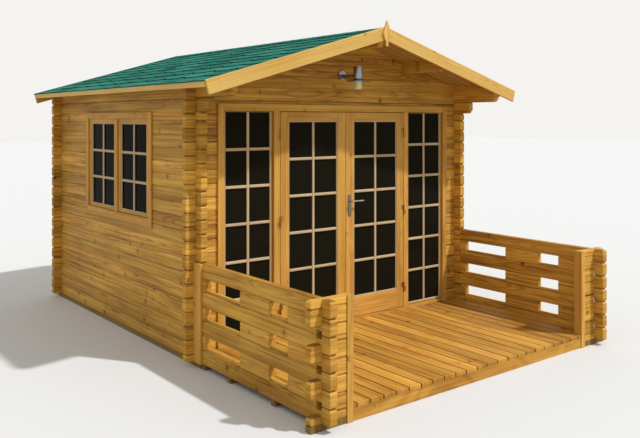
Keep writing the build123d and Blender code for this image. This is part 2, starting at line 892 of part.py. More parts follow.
def deck_joists():
    """Joists under the deck, notched to pass under the side panels."""
    top = deck_top - deck_board_thickness
    joists = []
    for y in joist_lines():
        points = [(-half_width, y, -bearer_height), (half_width, y, -bearer_height), (half_width, y, 0),
                  (inner_half_width, y, 0), (inner_half_width, y, top), (-inner_half_width, y, top),
                  (-inner_half_width, y, 0), (-half_width, y, 0)]
        joists.append(prism(points, (0, -joist_width, 0)))
    return joists


def deck_edge_beam():
    """The beam on edge along the front of the deck, between the posts."""
    return block(-post_inner, post_inner, return_front, return_front + joist_width,
                 -bearer_height, deck_top - deck_board_thickness)


def veranda_deck():
    """Boards from the cabin to the front edge; those behind the returns are shorter."""
    deck_boards = floor(2 * inner_half_width / (deck_board_width + deck_gap_least))
    pitch = 2 * inner_half_width / deck_boards
    gap = pitch - deck_board_width
    boards = []
    for number in range(deck_boards):
        x0 = -inner_half_width + gap / 2 + number * pitch
        x1 = x0 + deck_board_width
        board = block(x0, x1, return_front, -casing_thickness, deck_top - deck_board_thickness, deck_top)
        notches = []
        for side in (-1, 1):
            post_back = return_front + log_thickness + post_proud
            low, high = sorted((side * post_inner, side * far))
            if x0 < high and x1 > low:
                notches.append(block(low, high, return_front - 1, post_back, 0, far))
        boards.append(cut(board, notches) if notches else board)
    return boards


def lamp_point(radius, above):
    """A point beside the upright axis of the lamp, level with the rose plus a height."""
    return (lamp_offset + radius, -lamp_reach, lamp_height + above)


def wall_lamp():
    """The lamp on the gable: a rose with an arm and a body, a shade, and a glass."""
    rose = Solid.make_cylinder(rose_radius, rose_thickness, Plane((lamp_offset, 0, lamp_height), z_dir=(0, -1, 0)))
    arm = Solid.make_cone(arm_wall_radius, arm_lamp_radius, lamp_reach,
                          Plane((lamp_offset, 0, lamp_height - arm_drop), z_dir=(0, -1, 0)))
    body = Solid.make_cylinder(lamp_body_radius, lamp_body_height, Plane(lamp_point(0, -lamp_body_drop)))
    bracket = join([rose, arm, body])
    top = -lamp_body_drop
    rim = top - shade_fall
    underside = top - shade_thickness
    profile = Wire.make_polygon([lamp_point(0, top), lamp_point(shade_collar_radius, top),
                                 lamp_point(shade_radius, rim), lamp_point(shade_radius, rim - shade_rim),
                                 lamp_point(shade_collar_radius, underside), lamp_point(0, underside)])
    shade = Solid.revolve(Face(profile), 360, Axis(lamp_point(0, 0), (0, 0, 1)))
    glass = Solid.make_cylinder(lamp_glass_radius, lamp_glass_height,
                                Plane(lamp_point(0, underside - lamp_glass_height)))
    glass = glass.fillet(lamp_glass_rounding, [glass.edges().sort_by(Axis.Z)[0]])
    return bracket, shade, glass


def save(name, pieces):
    """Moves a node's solids to the origin under the middle of the cabin and writes them."""
    place_at = Location((0, -origin_y, bearer_height))
    solids = [solid.moved(place_at) for solid in solids_of(pieces)]
    shape = solids[0] if len(solids) == 1 else Compound(children=solids)
    shape.label = name
    export_step(shape, os.path.join("parts", name + ".step"))


def main():
    os.makedirs("parts", exist_ok=True)
    save("side_bearers", side_bearers())
    save("cross_bearers", cross_bearers())
    save("cabin_floor", [cabin_floor()])
    save("sill_log", [sill_log()])
    save("front_wall_left", [front_wall(-1)])
    save("front_wall_right", [front_wall(1)])
    save("lintel_log", [lintel_log()])
    ridge = purlin(0, ridge_purlin_drop)
    side_beams = [purlin(-purlin_spacing, side_purlin_drop), purlin(purlin_spacing, side_purlin_drop)]
    save("ridge_purlin", [ridge])
    save("side_purlins", side_beams)
    save("front_gable", [gable(0, gable_bottom, [ridge] + side_beams)])
    save("rear_wall", [gable(rear_inner, 0, [ridge] + side_beams)])
    wall = side_wall()
    save("left_wall", [wall])
    save("right_wall", mirrored([wall]))
    logs = eave_logs()
    save("eave_logs", [logs] + mirrored([logs]))
    save("roof_boards_left", [roof_boards(-1)])
    save("roof_boards_right", [roof_boards(1)])
    save("roof_shingles_left", [roof_shingles(-1)])
    save("roof_shingles_right", [roof_shingles(1)])
    save("ridge_cap", [ridge_cap()])
    front_board = roof_front - bargeboard_thickness
    save("bargeboards_left", [bargeboard(-1, front_board), bargeboard(-1, roof_rear)])
    save("bargeboards_right", [bargeboard(1, front_board), bargeboard(1, roof_rear)])
    save("finials", [finial(front_board - finial_thickness)])
    save("eave_boards", [eave_board(-1), eave_board(1)])
    save("frame_uprights", frame_uprights())
    save("frame_head", [frame_head()])
    save("frame_sill", [frame_sill()])
    sashes, panes = sidelights()
    save("sidelight_sashes", sashes)
    save("sidelight_glass", panes)
    frames, sashes, panes = window_unit()
    save("window_frames", frames + mirrored(frames))
    save("window_sashes", sashes + mirrored(sashes))
    save("window_glass", panes + mirrored(panes))
    for side, name in ((-1, "left"), (1, "right")):
        leaf, glass = door_leaf(side)
        save(name + "_door_leaf", [leaf])
        save(name + "_door_glass", [glass])
        save(name + "_door_hinges", hinges(side, True))
    save("frame_hinges", hinges(-1, False) + hinges(1, False))
    save("handle_plates", handle_plates())
    save("lever_handle", [lever_handle()])
    rails = panel_rails()
    spacers = panel_spacers()
    save("panel_rails", rails + mirrored(rails))
    save("panel_spacers", spacers + mirrored(spacers))
    left_return = front_return()
    save("front_return_left", [left_return])
    save("front_return_right", mirrored([left_return]))
    post = return_post()
    save("return_posts", [post] + mirrored([post]))
    cover = joint_cover()
    save("joint_covers", [cover] + mirrored([cover]))
    save("deck_joists", deck_joists())
    save("deck_edge_beam", [deck_edge_beam()])
    save("veranda_deck", veranda_deck())
    bracket, shade, glass = wall_lamp()
    save("lamp_bracket", [bracket])
    save("lamp_shade", [shade])
    save("lamp_glass", [glass])


main()
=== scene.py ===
import math
import random

import bpy
from mathutils import Matrix, Vector


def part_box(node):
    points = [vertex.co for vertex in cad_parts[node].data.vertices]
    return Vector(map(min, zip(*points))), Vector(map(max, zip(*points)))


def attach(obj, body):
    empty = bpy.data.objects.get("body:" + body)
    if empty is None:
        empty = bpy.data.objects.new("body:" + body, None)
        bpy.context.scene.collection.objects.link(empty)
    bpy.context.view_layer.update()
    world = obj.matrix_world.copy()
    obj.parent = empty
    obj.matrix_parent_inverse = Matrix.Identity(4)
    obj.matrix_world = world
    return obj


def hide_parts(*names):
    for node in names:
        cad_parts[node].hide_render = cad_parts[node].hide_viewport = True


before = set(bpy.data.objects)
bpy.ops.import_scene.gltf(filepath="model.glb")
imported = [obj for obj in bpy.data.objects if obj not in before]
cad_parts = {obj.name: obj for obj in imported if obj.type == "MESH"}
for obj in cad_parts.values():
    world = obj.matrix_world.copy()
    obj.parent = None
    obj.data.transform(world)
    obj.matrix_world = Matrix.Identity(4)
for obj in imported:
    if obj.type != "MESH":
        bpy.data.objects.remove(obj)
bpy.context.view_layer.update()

# Sizes of the cabin as its CAD source has them, in metres
log_height = 0.109
log_thickness = 0.055
courses_to_roof = 20
roof_pitch = math.radians(16.2)
roof_board = 0.016
shingle_butt = 0.007
shingle_head = 0.003
shingle_courses = 10
cap_width = 0.130
sash_thickness = 0.040
glass_thickness = 0.004
bar_width = 0.024
bar_set_back = 0.005
leaf_stiles = (0.0950, 0.1015)
leaf_rails = (0.184, 0.086)
leaf_rows = 5
sidelight_width = 0.478
sidelight_stiles = (0.026, 0.026)
sidelight_rails = (0.024, 0.008)
sidelight_rows = 6
window_stiles = (0.063, 0.063)
window_rails = (0.039, 0.054)
window_rows = 3
window_mullion = 0.044
window_frame_end = 0.030
window_frame_side = 0.042
window_casing_lap = 0.025
window_casing_cover = 0.035
window_batten = 0.060
deck_boards = 25
bargeboard_depth = 0.108
joist_width = 0.045
front_joist_gap = 0.455
middle_joist_gap = 0.516

# Sizes of the fine detail that the scene adds
roof_board_count = 42
floor_board_count = 26
board_groove = 0.004
bead_width = 0.011
bead_set_back = 0.004
sash_gap = 0.004
tab_width = 0.333
tab_slit = 0.002
tab_corner = (0.045, 0.085)
tab_thickness = 0.0042
tab_lap = 0.012
tab_sink = 0.0002
underlay = 0.002
# A band of painted shade under each tab: how far it reaches below the butt and up under the tab, and how far
# it stands proud of the felt below and sinks into it
shade_band_width = 0.020
shade_band_head = 0.010
shade_band_proud = 0.0002
shade_band_sunk = 0.001
strip_length = 0.166
strip_lap = 0.020
strip_foot = 0.0036
strip_head = 0.0016
strip_rise = 0.0030
verge_lap = 0.030
verge_thickness = 0.0015
deck_screw_offset = 0.032
deck_screw_radius = 0.004
nail_radius = 0.003
nail_places = (0.075, 0.42, 0.78, 1.14, 1.50, 1.68)
nail_levels = (-0.030, 0.004)

# Widths of edges that are cut off or rounded
felt_edge = 0.0003
shade_edge = 0.0008
thin_edge = 0.001
fine_edge = 0.0015
planed_edge = 0.002
casing_edge = 0.0025
soft_edge = 0.003
bar_edge = 0.0045

# How far the darkening in a joint reaches from it, and how dark it is from faintest to strongest.
# In the joints between logs it is painted shade with gathered stain; beside the gaps of the deck it is a
# darker edge.
seam_reach = 0.0070
seam_core = 0.0025
gap_reach = 0.0075
gap_core = 0.0035
faint_seams = (0.22, 1.15)
even_seams = (0.45, 1.1)
strong_seams = (0.55, 1.6)

# How much logs and deck boards differ in tone from one to the next
log_spread = 0.34
deck_spread = 0.36

# The part of a face's direction that lies along the grain, where end grain starts and where it is full
end_facing = (0.6, 0.9)

# Numbers of the axes, for the grain and for the way that pieces are laid side by side
along_x, along_y, along_z = 0, 1, 2

# The sides of the cabin: the sign of X and the word in a node's name
sides_and_words = ((-1, "left"), (1, "right"))

# Places that the frame gives
wall_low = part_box("left_wall")[0]
log_foot = wall_low.z
front_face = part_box("sill_log")[0].y
rear_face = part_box("rear_wall")[1].y
outer_x = -wall_low.x
inner_x = outer_x - log_thickness
front_joint = log_foot + log_height / 2
ridge_underside = log_foot + courses_to_roof * log_height + outer_x * math.tan(roof_pitch)
deck_pitch = 2 * inner_x / deck_boards

# Each separate piece draws a number of its own for its tone and figure
piece_numbers = 500
dice = random.Random(7)


def linear(code):
    """An sRGB hex colour as linear RGBA."""
    parts = [int(code[start:start + 2], 16) / 255 for start in (1, 3, 5)]
    curved = [part / 12.92 if part <= 0.04045 else ((part + 0.055) / 1.055) ** 2.4 for part in parts]
    return (*curved, 1.0)


def add(tree, kind, inputs=(), operation=None, **settings):
    """Adds a node with its settings, fills or links its inputs, and gives back its outputs.

    Inputs are a list that starts with the first one, or a dictionary by number or name.
    """
    made = tree.nodes.new(kind if kind.startswith("NodeGroup") else "ShaderNode" + kind)
    if operation:
        made.operation = operation
    for name, value in settings.items():
        setattr(made, name, value)
    if not isinstance(inputs, dict):
        inputs = dict(enumerate(inputs))
    for socket, value in inputs.items():
        if isinstance(value, bpy.types.NodeSocket):
            tree.links.new(value, made.inputs[socket])
        else:
            made.inputs[socket].default_value = value
    return made.outputs


def bare_material(name):
    """A new material with an empty tree."""
    material = bpy.data.materials.new(name)
    material.use_nodes = True
    material.node_tree.nodes.clear()
    return material, material.node_tree


def spruce_grain():
    """The grain of sawn spruce as a node group: rings round a wandering pith, knots, streaks, end grain."""
    group = bpy.data.node_groups.new("spruce_grain", "ShaderNodeTree")
    for way, kind, names in (
            ("INPUT", "Float", ("Along", "Across", "Deep", "Piece", "End", "Seam", "Knots", "Spread")),
            ("INPUT", "Color", ("Pale", "Rich", "Knot")), ("OUTPUT", "Color", ("Color",)),
            ("OUTPUT", "Float", ("Roughness", "Height"))):
        for name in names:
            group.interface.new_socket(name, in_out=way, socket_type="NodeSocket" + kind)
    inside = add(group, "NodeGroupInput")
    chance = add(group, "TexWhiteNoise", {"W": inside["Piece"]}, noise_dimensions="1D")
    shares = add(group, "SeparateColor", [chance["Color"]])

    # Each piece starts elsewhere along 40 m of trunk, so that no two show the same figure
    trunk = 40.0
    along = add(group, "Math", [shares[0], trunk, inside["Along"]], "MULTIPLY_ADD")[0]

    # The pith starts anywhere in a window of 90 by 80 mm, and bends about once a metre, by up to 70 and 90 mm
    bends_per_metre = 0.9
    slow = add(group, "CombineXYZ", [along, inside["Piece"]])[0]
    wander = add(group, "TexNoise", {"Vector": slow, "Scale": bends_per_metre})["Color"]
    drift = add(group, "SeparateColor", [wander])
    from_pith = []
    for place, share, width, start, bend, bend_width in (
            (inside["Across"], shares[1], 0.09, -0.045, drift[0], 0.07),
            (inside["Deep"], shares[2], 0.08, -0.010, drift[1], 0.09)):
        pith = add(group, "Math", [share, width, start], "MULTIPLY_ADD")[0]
        pith = add(group, "Math", [bend, bend_width, pith], "MULTIPLY_ADD")[0]
        from_pith.append(add(group, "Math", [place, pith], "SUBTRACT")[0])
    across, deep = from_pith

    # Branches run through the thickness, so a knot is a cell drawn out five times that way. Cells are 133 mm
    # apart, one in three has a knot of 20 to 40 mm, and the grain bends round it up to 50 mm from its middle.
    cells_per_metre = 7.5
    drawn_out = 0.2
    piece_step = 1.37
    knotless = 0.68
    knot_rim, knot_core = 0.16, 0.07
    halo_rim, halo_core = 0.36, 0.08
    thin = add(group, "Math", [inside["Deep"], drawn_out], "MULTIPLY")[0]
    lift = add(group, "Math", [inside["Piece"], piece_step, thin], "MULTIPLY_ADD")[0]
    cell = add(group, "CombineXYZ", [along, inside["Across"], lift])[0]
    cells = add(group, "TexVoronoi", {"Vector": cell, "Scale": cells_per_metre})
    pick = add(group, "SeparateColor", [cells["Color"]])[0]
    pick = add(group, "Math", [pick, knotless], "GREATER_THAN")[0]
    pick = add(group, "Math", [pick, inside["Knots"]], "MULTIPLY")[0]
    rounds = []
    for rim, core in ((knot_rim, knot_core), (halo_rim, halo_core)):
        reach = add(group, "MapRange", [cells["Distance"], rim, core], interpolation_type="SMOOTHSTEP")[0]
        rounds.append(add(group, "Math", [reach, pick], "MULTIPLY")[0])
    knot, halo = rounds

    # Rings are about 4 mm apart in spruce, and are drawn at 9 mm so that they show at this distance
    ring_spacing = 0.009
    ring_bulge = 0.012
    square = add(group, "Math", [across, across], "MULTIPLY")[0]
    square = add(group, "Math", [deep, deep, square], "MULTIPLY_ADD")[0]
    radius = add(group, "Math", [square], "SQRT")[0]
    radius = add(group, "Math", [halo, ring_bulge, radius], "MULTIPLY_ADD")[0]
    phase = add(group, "Math", [radius, 2 * math.pi / ring_spacing], "MULTIPLY")[0]
    wave = add(group, "Math", [phase], "SINE")[0]
    late = add(group, "MapRange", [wave, -0.1, 1.0])[0]

    # Streaks of darker stain are about 1.1 m long and 23 mm wide, and patches of warmer wood about 0.8 m long
    # and 140 mm wide. Both are counted to the metre along, across and through the drawn-out cells.
    streaks_per_metre = (0.9, 44.0, 18.0)
    patches_per_metre = (1.3, 7.0, 3.0)
    fibre = add(group, "VectorMath", [cell, streaks_per_metre], "MULTIPLY")[0]
    streak = add(group, "TexNoise", {"Vector": fibre, "Scale": 1.0, "Detail": 3.0, "Roughness": 0.55})["Fac"]
    streak = add(group, "MapRange", [streak, 0.34, 0.75])[0]
    broad = add(group, "VectorMath", [cell, patches_per_metre], "MULTIPLY")[0]
    patch = add(group, "TexNoise", {"Vector": broad, "Scale": 1.0})["Fac"]
    patch = add(group, "MapRange", [patch, 0.35, 0.68])[0]

    # Streaks, late wood and patches drink the stain, the wood round a knot is warmer, and the knot is brown
    streak_share, late_share, patch_share, halo_share, knot_share = 0.55, 0.22, 0.36, 0.40, 0.70
    depth = add(group, "Math", [streak, streak_share], "MULTIPLY")[0]
    depth = add(group, "Math", [late, late_share, depth], "MULTIPLY_ADD")[0]
    depth = add(group, "Math", [patch, patch_share, depth], "MULTIPLY_ADD", use_clamp=True)[0]
    warm = add(group, "Math", [halo, halo_share], "MULTIPLY")[0]
    brown = add(group, "Math", [knot, knot_share], "MULTIPLY")[0]
    color = inside["Pale"]
    for share, name in ((depth, "Rich"), (warm, "Rich"), (brown, "Knot")):
        color = add(group, "Mix", {0: share, 6: color, 7: inside[name]}, data_type="RGBA")[2]

    # One piece is lighter or darker, yellower or redder than the next
    reddest, yellowest = 0.497, 0.504
    tone = add(group, "Math", [chance["Value"], 0.5], "SUBTRACT")[0]
    tone = add(group, "Math", [tone, inside["Spread"], 1.0], "MULTIPLY_ADD")[0]
    hue = add(group, "MapRange", {0: shares[1], 3: reddest, 4: yellowest})[0]
    color = add(group, "HueSaturation", {"Hue": hue, "Value": tone, "Color": color})[0]

    # End grain drinks the stain and is a little darker, and it splits from the pith outwards
    splits_per_radian = 5.0
    angle = add(group, "Math", [across, deep], "ARCTAN2")[0]
    spoke = add(group, "CombineXYZ", [angle, inside["Piece"]])[0]
    split = add(group, "TexNoise", {"Vector": spoke, "Scale": splits_per_radian, "Detail": 3.0})["Fac"]
    split = add(group, "MapRange", {0: split, 1: 0.62, 2: 0.72, 4: 0.55})[0]
    end_ring = add(group, "Math", [late, 0.25, split], "MULTIPLY_ADD")[0]
    end_tone = add(group, "MapRange", {0: end_ring, 2: 0.8, 3: 0.98, 4: 0.62})[0]
    end_color = add(group, "HueSaturation", {"Value": end_tone, "Color": color})[0]
    color = add(group, "Mix", {0: inside["End"], 6: color, 7: end_color}, data_type="RGBA")[2]

    # Painted shade in a joint or gap, with stain that gathers between logs, darkens it: a seam of 2 would be
    # black
    seam = add(group, "MapRange", {0: inside["Seam"], 2: 2.0, 3: 1.0, 4: 0.0})[0]
    color = add(group, "HueSaturation", {"Value": seam, "Color": color})[0]

    # Streaks and end grain are rougher than sound wood, late wood lies lower and knots stand higher
    rough = add(group, "Math", [streak, 0.14, 0.50], "MULTIPLY_ADD")[0]
    rough = add(group, "Math", [inside["End"], 0.25, rough], "MULTIPLY_ADD")[0]
    height = add(group, "Math", [late, -0.35, streak], "MULTIPLY_ADD")[0]
    height = add(group, "Math", [knot, 0.8, height], "MULTIPLY_ADD")[0]
    add(group, "NodeGroupOutput", {"Color": color, "Roughness": rough, "Height": height})
    return group


grain = spruce_grain()

# Stain over planed spruce: pale where the wood is hard, rich where it drinks, and the tone of its knots
stains = {
    # Logs: honey, with brown streaks along each log
    "log": ("#ECBC5A", "#865010", "#502C10"),
    # Bargeboards and finial: paler and more even than the logs
    "board": ("#ECC97C", "#CD9C4C", "#70461C"),
    # Doors, frames and posts: planed members in a warm mid tone
    "joinery": ("#E1B25F", "#AA772E", "#5E3814"),
    # Glazing bars and beads: hardly stained, so that they stand out pale before the dark panes
    "bar": ("#CDBEA4", "#B29B78", "#7C5C36"),
    # Deck and its front beam: the most orange
    "deck": ("#DDAA50", "#905816", "#4C2A10"),
    # Board along the eave: a pale line under the dark roof, paler than the other boards as a painted
    # highlight of the sky light on it
    "eave": ("#F0D08A", "#D4AA60", "#8A6230"),
    # Impregnated beams on the ground: dull and greenish brown
    "bearer": ("#9A7C4C", "#6F5630", "#3E2A15"),
    # Boards of the roof and floor, seen from below and inside: plain dry spruce
    "floor": ("#CDA668", "#A97E40", "#5E3D1A"),
    # Grooves between the roof boards: painted shade, a dark line in each groove
    "joint": ("#5A3C18", "#3E270E", "#2A1A0A"),
}


def timber_shader(name, stain, coordinates, knots=1.0, spread=0.20, bump=0.35):
    """Stained spruce: a soft sheen over its grain, where the coordinates are made in the material's tree."""
    relief_depth = 0.0012
    ior = 1.3
    material, tree = bare_material(name)
    along, across, deep, piece, end, seam = coordinates(tree)
    pale, rich, knot = (linear(code) for code in stains[stain])
    wood = add(tree, "Group",
               {"Along": along, "Across": across, "Deep": deep, "Piece": piece, "End": end, "Seam": seam,
                "Knots": knots, "Spread": spread, "Pale": pale, "Rich": rich, "Knot": knot}, node_tree=grain)
    relief = add(tree, "Bump", {"Height": wood["Height"], "Strength": bump, "Distance": relief_depth})[0]
    shader = add(tree, "BsdfPrincipled",
                 {"Base Color": wood["Color"], "Roughness": wood["Roughness"], "Normal": relief,
                  "IOR": ior})[0]
    add(tree, "OutputMaterial", {"Surface": shader})
    material.diffuse_color = pale
    return material


def joint_seams(tree, level, along, pitch, seed, top_joint, stubs, shares):
    """The dark line in the joints between logs: painted shade in the joint, and stain that gathers there.

    It fades in and out along a wall between two shares, and is strong on the stubs past the crossing walls,
    as painted shade in the open joints at the log ends.
    """
    # Each joint fades over about 600 mm, in a row of its own
    fades_per_metre = 1.6
    row_step = 3.7
    joint = add(tree, "Math", [level, 0.5], "ADD")[0]
    joint = add(tree, "Math", [joint], "FLOOR")[0]
    if top_joint is not None:
        joint = add(tree, "Math", [joint, top_joint], "MINIMUM")[0]
    gap = add(tree, "Math", [level, joint], "SUBTRACT")[0]
    gap = add(tree, "Math", [gap], "ABSOLUTE")[0]
    line = add(tree, "MapRange", [gap, seam_reach / pitch, seam_core / pitch],
               interpolation_type="SMOOTHSTEP")[0]
    row = add(tree, "Math", [joint, row_step, float(seed)], "MULTIPLY_ADD")[0]
    spot = add(tree, "CombineXYZ", [along, row])[0]
    fade = add(tree, "TexNoise", {"Vector": spot, "Scale": fades_per_metre, "Detail": 1.0})["Fac"]
    fade = add(tree, "MapRange", [fade, 0.42, 0.70, shares[0], shares[1]])[0]
    for value, other in ((stubs[0], along), (along, stubs[1])):
        past = add(tree, "Math", [value, other], "GREATER_THAN")[0]
        fade = add(tree, "Math", [fade, past], "MAXIMUM")[0]
    return add(tree, "Math", [line, fade], "MULTIPLY")[0]


def board_gaps(tree, across, aside, pitch):
    """The darkness of boards with gaps between them: painted shade on their sides that face each other, and
    darker top edges beside a gap.
    """
    side = add(tree, "Math", [aside], "ABSOLUTE")[0]
    side = add(tree, "MapRange", {0: side, 1: 0.75, 2: 0.95, 4: 1.6})[0]
    edge = add(tree, "Math", [across], "ABSOLUTE")[0]
    edge = add(tree, "MapRange", {0: edge, 1: pitch / 2 - gap_reach, 2: pitch / 2 - gap_core, 4: 1.1})[0]
    return add(tree, "Math", [side, edge], "MAXIMUM")[0]


def end_share(tree, facing):
    """How much of a face is end grain, from the part of its direction that lies along the grain."""
    ahead = add(tree, "Math", [facing], "ABSOLUTE")[0]
    return add(tree, "MapRange", [ahead, end_facing[0], end_facing[1]])[0]


def laid(run, stack, start, pitch, middle, seed, seams=None, gaps=False, fold=False, tilt=0.0, top_joint=None,
         stubs=(-9.0, 9.0)):
    """Coordinates for pieces that lie side by side in a CAD node.

    They run along one axis and stack along another from a start, one each pitch, and their middle is given on
    the third. A folded node has the same pieces left and right of X = 0. A tilt turns the axes about Y first.
    Logs have seams of a faintest and a strongest share, painted shade and gathered stain in their joints, and
    boards with gaps carry painted shade on the sides that face each other.
    """
    # Keeps the numbers of the pieces on the two sides apart
    side_step = 61.0

    def coordinates(tree):
        rest = ({along_x, along_y, along_z} - {run, stack}).pop()
        source = add(tree, "TexCoord")
        place, normal = source["Object"], source["Normal"]
        if tilt:
            place, normal = (add(tree, "VectorRotate", {"Vector": way, "Rotation": (0.0, tilt, 0.0)},
                                 rotation_type="EULER_XYZ")[0] for way in (place, normal))
        axes = list(add(tree, "SeparateXYZ", [place]))
        number = float(seed)
        if fold:
            side = add(tree, "Math", [axes[0]], "SIGN")[0]
            number = add(tree, "Math", [side, side_step, number], "MULTIPLY_ADD")[0]
            axes[0] = add(tree, "Math", [axes[0]], "ABSOLUTE")[0]
        level = add(tree, "Math", [axes[stack], start], "SUBTRACT")[0]
        level = add(tree, "Math", [level, pitch], "DIVIDE")[0]
        course = add(tree, "Math", [level], "FLOOR")[0]
        if top_joint is not None:
            course = add(tree, "Math", [course, top_joint], "MINIMUM")[0]
        piece = add(tree, "Math", [course, number], "ADD")[0]
        share = add(tree, "Math", [level, course], "SUBTRACT")[0]
        across = add(tree, "Math", [share, pitch, -pitch / 2], "MULTIPLY_ADD")[0]
        deep = add(tree, "Math", [axes[rest], middle], "SUBTRACT")[0]
        facing = add(tree, "SeparateXYZ", [normal])
        seam = 0.0
        if seams:
            seam = joint_seams(tree, level, axes[run], pitch, seed, top_joint, stubs, seams)
        if gaps:
            seam = board_gaps(tree, across, facing[stack], pitch)
        return axes[run], across, deep, piece, end_share(tree, facing[run]), seam
    return coordinates


def jointed(tree):
    """Coordinates that a mesh made of separate members carries itself."""
    place = add(tree, "Attribute", attribute_name="grain")["Vector"]
    axis = add(tree, "Attribute", attribute_name="grain_axis")["Vector"]
    piece = add(tree, "Attribute", attribute_name="piece")["Fac"]
    axes = add(tree, "SeparateXYZ", [place])
    normal = add(tree, "TexCoord")["Normal"]
    facing = add(tree, "VectorMath", [normal, axis], "DOT_PRODUCT")["Value"]
    return axes[0], axes[1], axes[2], piece, end_share(tree, facing), 0.0


def chamfered_box(low, high, cut):
    """The corners and faces of a box whose edges are cut off flat, and which faces are whole sides."""
    signs = [(i, j, k) for i in (0, 1) for j in (0, 1) for k in (0, 1)]
    index = {}
    points = []
    for corner in signs:
        for face in range(3):
            point = []
            for axis in range(3):
                value = (low, high)[corner[axis]][axis]
                inward = cut if corner[axis] == 0 else -cut
                point.append(value if axis == face else value + inward)
            index[corner, face] = len(points)
            points.append(Vector(point))
    faces = []
    whole = []
    for axis in range(3):
        one, two = (axis + 1) % 3, (axis + 2) % 3

        def corner_at(side, a, b):
            corner = [0, 0, 0]
            corner[axis], corner[one], corner[two] = side, a, b
            return tuple(corner)

        for side in (0, 1):
            faces.append([index[corner_at(side, a, b), axis] for a, b in ((0, 0), (1, 0), (1, 1), (0, 1))])
            whole.append(True)
        for a, b in ((0, 0), (0, 1), (1, 0), (1, 1)):
            near, far = corner_at(0, a, b), corner_at(1, a, b)
            faces.append([index[near, one], index[far, one], index[far, two], index[near, two]])
            whole.append(False)
    for corner in signs:
        faces.append([index[corner, face] for face in range(3)])
        whole.append(False)
    return points, faces, whole


def placed(name, data):
    """A new object in the scene."""
    made = bpy.data.objects.new(name, data)
    bpy.context.scene.collection.objects.link(made)
    return made


def joined(name, pieces, materials, body, replaces=()):
    """One mesh from separate convex pieces.

    A piece is (corners, faces, material number of each face, grain place of each corner, grain direction).
    """
    vertices, faces, numbers, grains, grain_axes, shares = [], [], [], [], [], []
    for corners, loops, loop_numbers, places, direction in pieces:
        base = len(vertices)
        heart = sum(corners, Vector()) / len(corners)
        for loop, number in zip(loops, loop_numbers):
            spots = [corners[corner] for corner in loop]
            normal = (spots[1] - spots[0]).cross(spots[2] - spots[0])
            if normal.dot(sum(spots, Vector()) / len(spots) - heart) < 0:
                loop = loop[::-1]
            faces.append([base + corner for corner in loop])
            numbers.append(number)
        vertices += corners
        grains += places
        grain_axes += [direction] * len(corners)
        shares += [dice.random() * piece_numbers] * len(corners)
    mesh = bpy.data.meshes.new(name)
    mesh.from_pydata(vertices, [], faces)
    mesh.polygons.foreach_set("material_index", numbers)
    for label, values in (("grain", grains), ("grain_axis", grain_axes)):
        layer = mesh.attributes.new(label, "FLOAT_VECTOR", "POINT")
        layer.data.foreach_set("vector", [part for value in values for part in value])
    layer = mesh.attributes.new("piece", "FLOAT", "POINT")
    layer.data.foreach_set("value", shares)
    for material in materials:
        mesh.materials.append(material)
    made = placed(name, mesh)
    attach(made, body)
    if replaces:
        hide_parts(*replaces)


def members(parts, place=None, edge_number=None):
    """Pieces of wood from (low corner, high corner, axis of the grain, chamfer, material number).

    The matrix called place turns their axes into the cabin's own. The chamfers have a material number of
    their own where one is given.
    """
    place = place or Matrix.Identity(4)
    pieces = []
    for low, high, axis, cut, number in parts:
        low, high = Vector(low), Vector(high)
        middle = (low + high) / 2
        points, loops, whole = chamfered_box(low, high, cut)
        one, two = (axis + 1) % 3, (axis + 2) % 3
        if high[one] - low[one] < high[two] - low[two]:
            one, two = two, one
        direction = Vector((0, 0, 0))
        direction[axis] = 1.0
        places = [(point[axis], point[one] - middle[one], point[two] - middle[two]) for point in points]
        cut_number = number if edge_number is None else edge_number
        pieces.append(([place @ point for point in points], loops,
                       [number if side else cut_number for side in whole], places,
                       (place.to_3x3() @ direction).normalized()))
    return pieces


def prism_loops(count):
    """The faces of a prism whose corners are one ring and then the other."""
    sides = [[spot, (spot + 1) % count, (spot + 1) % count + count, spot + count] for spot in range(count)]
    return [list(range(count)), list(range(count, 2 * count))] + sides


def plate(outline, place, face_number, edge_number):
    """A thin convex plate from corners given as (down the slope, along it, underside, top)."""
    count = len(outline)
    corners = [place @ Vector((down, along, top)) for down, along, under, top in outline]
    corners += [place @ Vector((down, along, under)) for down, along, under, top in outline]
    places = [(along, down, 0.0) for down, along, under, top in outline] * 2
    numbers = [face_number] + [edge_number] * (count + 1)
    return corners, prism_loops(count), numbers, places, (0.0, 1.0, 0.0)


def clipped(outline, axis, low, high):
    """A convex outline cut off below a low and above a high value on one axis."""
    for limit, sign in ((low, 1), (high, -1)):
        kept = []
        for spot, corner in enumerate(outline):
            before = outline[spot - 1]
            here, there = sign * (corner[axis] - limit), sign * (before[axis] - limit)
            if here * there < 0:
                share = there / (there - here)
                kept.append(tuple(b + (c - b) * share for b, c in zip(before, corner)))
            if here >= 0:
                kept.append(corner)
        outline = kept
    return outline


def dress(node, material, edge=0.0):
    """Puts a material on a CAD node, and rounds its edges where an edge width is given.

    For that, corners within 0.05 mm become one, flat neighbours are joined, and blunt edges stay as they are.
    """
    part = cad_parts[node]
    part.data.materials.clear()
    part.data.materials.append(material)
    if edge:
        weld = part.modifiers.new("weld", "WELD")
        weld.merge_threshold = 0.00005
        flat = part.modifiers.new("flat", "DECIMATE")
        flat.decimate_type = "DISSOLVE"
        flat.angle_limit = math.radians(1.0)
        soft = part.modifiers.new("soft", "BEVEL")
        soft.width = edge
        soft.segments = 2
        soft.limit_method = "ANGLE"
        soft.angle_limit = math.radians(28.0)


def stained(name, stain, coordinates, edge, nodes=None, **looks):
    """Dresses the CAD node of this name, or those listed, in impregnated or stained spruce."""
    treatment = "impregnated_spruce_" if stain == "bearer" else "stained_spruce_"
    finish = timber_shader(treatment + name, stain, coordinates, **looks)
    for node in nodes or [name]:
        dress(node, finish, edge)


